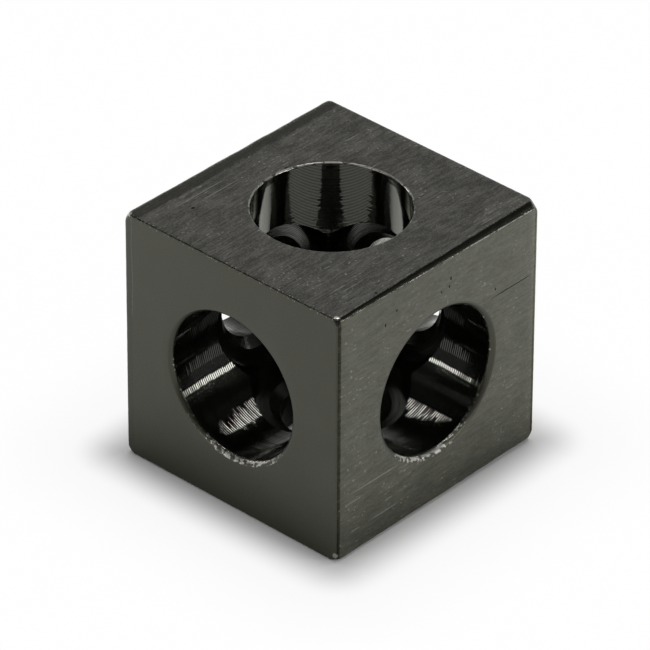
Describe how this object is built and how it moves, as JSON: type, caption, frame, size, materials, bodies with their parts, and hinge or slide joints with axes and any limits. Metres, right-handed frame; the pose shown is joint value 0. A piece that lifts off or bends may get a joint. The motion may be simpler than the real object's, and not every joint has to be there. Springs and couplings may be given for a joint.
{
  "type": "three-way corner connector",
  "caption": "Square block with crossing screw bores that joins the ends of slotted profiles at right angles.",
  "frame": {"origin": "centre of the block, where the axes of the three bores cross", "axes": "+X along the bar the block is cut from, and +X, +Y and +Z each out of the mouth of an access bore; profiles seat on the -X, -Y and -Z faces"},
  "size_m": [0.02, 0.0196, 0.0196],
  "materials": {
    "corner_block": "black anodised, brushed along the bar, with glossy bored holes"
  },
  "bodies": {
    "root": {"corner_block": "corner_block"}
  },
  "joints": []
}
